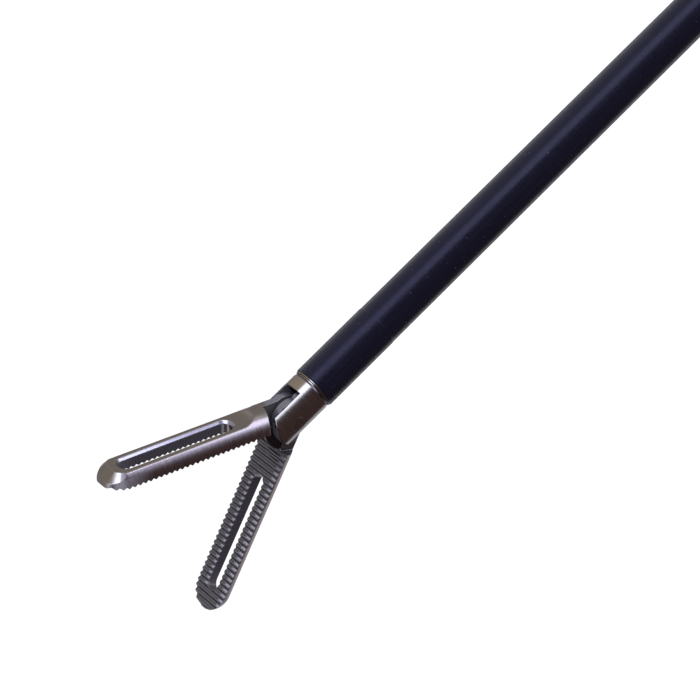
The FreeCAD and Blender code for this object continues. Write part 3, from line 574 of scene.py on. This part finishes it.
shoulder_ring = ((shoulder_in, shoulder_low), (shoulder_out, shoulder_low),
                 (shoulder_out, shoulder_high), (shoulder_in, shoulder_high))
sides = len(shoulder_ring)
last_ring = sides * shoulder_steps
shoulder_faces = [[sides * step + corner, sides * step + (corner + 1) % sides,
                   sides * (step + 1) + (corner + 1) % sides, sides * (step + 1) + corner]
                  for step in range(shoulder_steps) for corner in range(sides)]
shoulder_faces += [list(reversed(range(sides))), [last_ring + corner for corner in range(sides)]]
shoulder_steel = steel("tang_painted_light_and_shade", heel_painted_shade, rough=(0.34, 0.44))
for side, jaw in ((-1, "upper_jaw"), (1, "lower_jaw")):
    corners = []
    for step in range(shoulder_steps + 1):
        angle = side * (jaw_open - shoulder_sweep * step / shoulder_steps)
        corners += [(pivot_x + reach * math.cos(angle), reach * math.sin(angle), side * level)
                    for reach, level in shoulder_ring]
    mesh = bpy.data.meshes.new(jaw + "_shoulder")
    mesh.from_pydata(corners, [], shoulder_faces)
    mesh.materials.append(shoulder_steel)
    shoulder = bpy.data.objects.new(jaw + "_shoulder", mesh)
    bpy.context.scene.collection.objects.link(shoulder)
    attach(shoulder, jaw)


# The push rod runs inside the tube from the ball in the lever to the tongue between the
# jaw tangs. It is drawn stainless wire, with the tongue and the ball brazed on its ends.
rod_grey = (0.44, 0.43, 0.43, 1.0)
ball_grey = (0.50, 0.49, 0.49, 1.0)
rod_steel = steel("rod_drawn", rod_grey, turn=lengthwise, short=8.0, long=0.1)
ball_steel = steel("ball_polished", ball_grey, rough=(0.10, 0.16), short=4.0, long=4.0)
dress(["push_rod", "rod_tongue"], rod_steel)
dress(["rod_ball"], ball_steel)


# The rotation knob is moulded in black glass-filled nylon round a turned steel hub, and
# a socket set screw locks it. A washer, a spring clip, a rubber seal and its retainer
# hold the hub in the handle and keep it tight.
worn_gain, worn_lift = 1.9, 0.01
worn_share = 0.6
smooth_skin = 0.000003


def plastic(name, colour, speck, rough=(0.42, 0.55), pitch=3.0, depth=0.000018, edge=0.0003, dabs=700.0):
    """Moulded plastic with a fine spark-eroded texture, a little mottling and rubbed edges."""
    made, tree, surface = material_of(name)
    place = put(tree, "ShaderNodeTexCoord").outputs["Object"]
    pits = use(tree, grain, place=place, short=pitch, long=pitch)
    rim = times(tree, use(tree, rubbed_edge, width=edge, place=place, dabs=dabs)["Edge"], worn_share)
    mottled = blend(tree, ramp(tree, pits["Tone"], *grain_middle), colour, speck)
    worn = tuple(min(1.0, worn_gain * part + worn_lift) for part in colour[:3]) + (1.0,)
    feed(tree, surface, colour=blend(tree, rim, mottled, worn),
         roughness=ramp(tree, pits["Line"], *grain_whole, *rough, smooth=False),
         normal=bumps(tree, pits["Line"], depth))
    return made


knob_dark, knob_speck = (0.020, 0.020, 0.024, 1.0), (0.026, 0.026, 0.030, 1.0)
washer_pale, washer_speck = (0.62, 0.61, 0.58, 1.0), (0.68, 0.67, 0.64, 1.0)
retainer_pale, retainer_speck = (0.66, 0.65, 0.61, 1.0), (0.72, 0.71, 0.67, 1.0)
seal_red, seal_speck = (0.33, 0.075, 0.055, 1.0), (0.36, 0.085, 0.065, 1.0)
knob_black = plastic("knob_black", knob_dark, knob_speck)
washer_white = plastic("washer_white", washer_pale, washer_speck, depth=smooth_skin)
retainer_white = plastic("retainer_white", retainer_pale, retainer_speck, depth=smooth_skin)
seal_rubber = plastic("seal_rubber", seal_red, seal_speck, rough=(0.62, 0.75))

hub_grey = (0.45, 0.44, 0.43, 1.0)
screw_grey = (0.50, 0.50, 0.51, 1.0)
clip_grey = (0.26, 0.25, 0.27, 1.0)
hub_steel = steel("hub_turned", hub_grey, short=5.0, long=0.3)
screw_steel = steel("screw_zinc", screw_grey, rough=(0.18, 0.28), short=6.0, long=6.0)
clip_steel = steel("clip_spring", clip_grey, rough=(0.22, 0.34))
dress(["rotation_knob"], knob_black)
dress(["thrust_washer"], washer_white)
dress(["seal_retainer"], retainer_white)
dress(["rod_seal"], seal_rubber)
dress(["knob_hub"], hub_steel)
dress(["knob_set_screw", "shell_screws"], screw_steel)
dress(["retaining_clip"], clip_steel)


# The handle is two black moulded half shells that three screws draw together, with the
# finger ring at its foot. The thumb lever is one moulding that turns on a steel pin, with
# a clear-cut socket pressed in its head for the rod's ball.
handle_dark, handle_speck = (0.017, 0.017, 0.019, 1.0), (0.022, 0.022, 0.024, 1.0)
lever_dark, lever_speck = (0.018, 0.018, 0.020, 1.0), (0.023, 0.023, 0.025, 1.0)
handle_black = plastic("handle_black", handle_dark, handle_speck)
lever_black = plastic("lever_black", lever_dark, lever_speck)
socket_grey = (0.42, 0.41, 0.41, 1.0)
socket_steel = steel("socket_steel", socket_grey, short=7.0, long=1.0)
dress(["left_shell", "right_shell"], handle_black)
dress(["thumb_lever"], lever_black)
dress(["ball_socket"], socket_steel)
dress(["lever_pivot_pin"], pin_steel)


# The electrode post is turned brass with a bright nickel and chrome skin, and a bent
# bronze leaf carries its current to the tube.
chrome, chrome_edge = (0.66, 0.66, 0.67, 1.0), (0.85, 0.85, 0.86, 1.0)
bronze, bronze_edge = (0.62, 0.42, 0.20, 1.0), (0.80, 0.62, 0.36, 1.0)
post_chrome = steel("post_chrome", chrome, chrome_edge, rough=(0.06, 0.11), turn=lengthwise,
                    short=5.0, long=0.3, depth=0.000001)
leaf_bronze = steel("leaf_bronze", bronze, bronze_edge, rough=(0.26, 0.36))
dress(["electrode_post"], post_chrome)
dress(["contact_leaf"], leaf_bronze)
